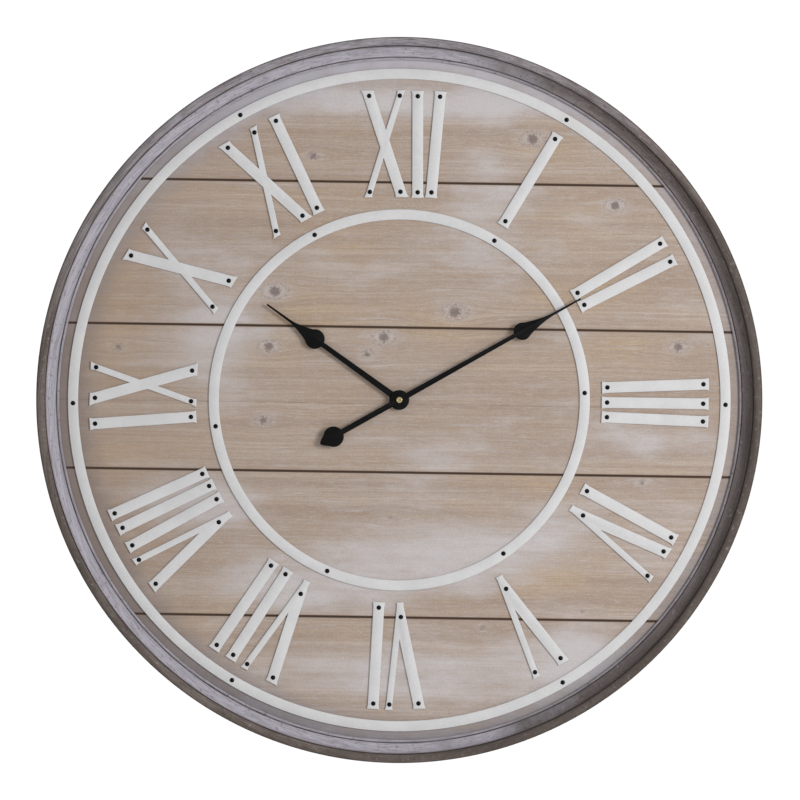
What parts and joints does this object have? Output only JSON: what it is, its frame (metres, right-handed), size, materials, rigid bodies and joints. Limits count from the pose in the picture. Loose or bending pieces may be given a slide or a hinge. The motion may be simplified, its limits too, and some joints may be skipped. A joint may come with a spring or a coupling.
{
  "type": "wall clock",
  "caption": "Large round wooden wall clock with plank dial, moulded frame, metal rings, Roman numerals and spade hands on a battery movement.",
  "frame": {"origin": "centre of the clock's bounding box: on the hands' axis, midway through the frame's depth", "axes": "the dial faces -Y, the wall side is +Y, twelve is at +Z and three at +X"},
  "size_m": [0.8, 0.05, 0.8],
  "materials": {
    "limed_plank": "limed, worn matt",
    "grey_frame_wood": "grey stained, rubbed matt",
    "raw_batten_wood": "sawn",
    "white_enamel": "satin",
    "black_enamel": "satin",
    "brass": "polished",
    "steel": "plated",
    "black_plastic": "moulded",
    "white_plastic": "moulded",
    "copper_winding": "enamelled wire",
    "circuit_laminate": "solder resist",
    "black_rubber": "matt",
    "battery_wrap": "printed foil",
    "rotor_magnet": "sintered"
  },
  "bodies": {
    "clock": {"batten_left": "raw_batten_wood", "batten_right": "raw_batten_wood", "battery": "battery_wrap", "circuit_board": "circuit_laminate", "coil": "copper_winding", "contact_negative": "steel", "contact_positive": "steel", "dial_nut": "brass", "frame_ring": "grey_frame_wood", "hanger_plate": "steel", "inner_metal_ring": "white_enamel", "movement_case": "black_plastic", "numeral_10_x": "white_enamel", "numeral_11_i": "white_enamel", "numeral_11_x": "white_enamel", "numeral_12_i1": "white_enamel", "numeral_12_i2": "white_enamel", "numeral_12_x": "white_enamel", "numeral_1_i": "white_enamel", "numeral_2_i1": "white_enamel", "numeral_2_i2": "white_enamel", "numeral_3_i1": "white_enamel", "numeral_3_i2": "white_enamel", "numeral_3_i3": "white_enamel", "numeral_4_i": "white_enamel", "numeral_4_v": "white_enamel", "numeral_5_v": "white_enamel", "numeral_6_i": "white_enamel", "numeral_6_v": "white_enamel", "numeral_7_i1": "white_enamel", "numeral_7_i2": "white_enamel", "numeral_7_v": "white_enamel", "numeral_8_i1": "white_enamel", "numeral_8_i2": "white_enamel", "numeral_8_i3": "white_enamel", "numeral_8_v": "white_enamel", "numeral_9_i": "white_enamel", "numeral_9_x": "white_enamel", "outer_metal_ring": "white_enamel", "plank_1": "limed_plank", "plank_2": "limed_plank", "plank_3": "limed_plank", "plank_4": "limed_plank", "plank_5": "limed_plank", "rear_cover": "black_plastic", "rubber_washer": "black_rubber", "stator": "steel", "threaded_bush": "brass"},
    "minute": {"minute_hand": "black_enamel", "minute_nut": "brass", "minute_arbor": "brass"},
    "hour": {"hour_hand": "black_enamel", "hour_wheel": "white_plastic"},
    "motion": {"motion_wheel": "white_plastic"},
    "setting": {"set_knob": "black_plastic"},
    "third": {"third_wheel": "white_plastic"},
    "fourth": {"fourth_wheel": "white_plastic"},
    "centre": {"centre_wheel": "brass"},
    "fifth": {"fifth_wheel": "white_plastic"},
    "rotor": {"rotor": "rotor_magnet"}
  },
  "joints": [
    {"name": "minute_turn", "type": "hinge", "parent": "clock", "child": "minute", "pos_m": [0, 0, 0], "axis": [0, 1, 0], "continuous": true},
    {"name": "hour_turn", "type": "hinge", "parent": "clock", "child": "hour", "pos_m": [0, 0, 0], "axis": [0, 1, 0], "continuous": true},
    {"name": "motion_turn", "type": "hinge", "parent": "clock", "child": "motion", "pos_m": [0, 0, 0.009], "axis": [0, 1, 0], "continuous": true},
    {"name": "knob_turn", "type": "hinge", "parent": "clock", "child": "setting", "pos_m": [0.00689, 0, 0.01478], "axis": [0, 1, 0], "continuous": true},
    {"name": "fourth_turn", "type": "hinge", "parent": "clock", "child": "fourth", "pos_m": [0, 0, 0], "axis": [0, 1, 0], "continuous": true},
    {"name": "centre_turn", "type": "hinge", "parent": "clock", "child": "centre", "pos_m": [0, 0, 0], "axis": [0, 1, 0], "continuous": true},
    {"name": "third_turn", "type": "hinge", "parent": "clock", "child": "third", "pos_m": [0.00799, 0, 0.00291], "axis": [0, 1, 0], "continuous": true},
    {"name": "fifth_turn", "type": "hinge", "parent": "clock", "child": "fifth", "pos_m": [-0.00837, 0, -0.00148], "axis": [0, 1, 0], "continuous": true},
    {"name": "rotor_turn", "type": "hinge", "parent": "clock", "child": "rotor", "pos_m": [-0.01363, 0, 0.00044], "axis": [0, 1, 0], "continuous": true}
  ],
  "couplings": [
    {"joint": "hour_turn", "follows": "minute_turn", "ratio": 0.083333},
    {"joint": "motion_turn", "follows": "minute_turn", "ratio": -0.33333},
    {"joint": "knob_turn", "follows": "minute_turn", "ratio": 1},
    {"joint": "centre_turn", "follows": "fourth_turn", "ratio": 0.016667},
    {"joint": "third_turn", "follows": "fourth_turn", "ratio": -0.125},
    {"joint": "fifth_turn", "follows": "fourth_turn", "ratio": -5},
    {"joint": "rotor_turn", "follows": "fourth_turn", "ratio": 30}
  ]
}
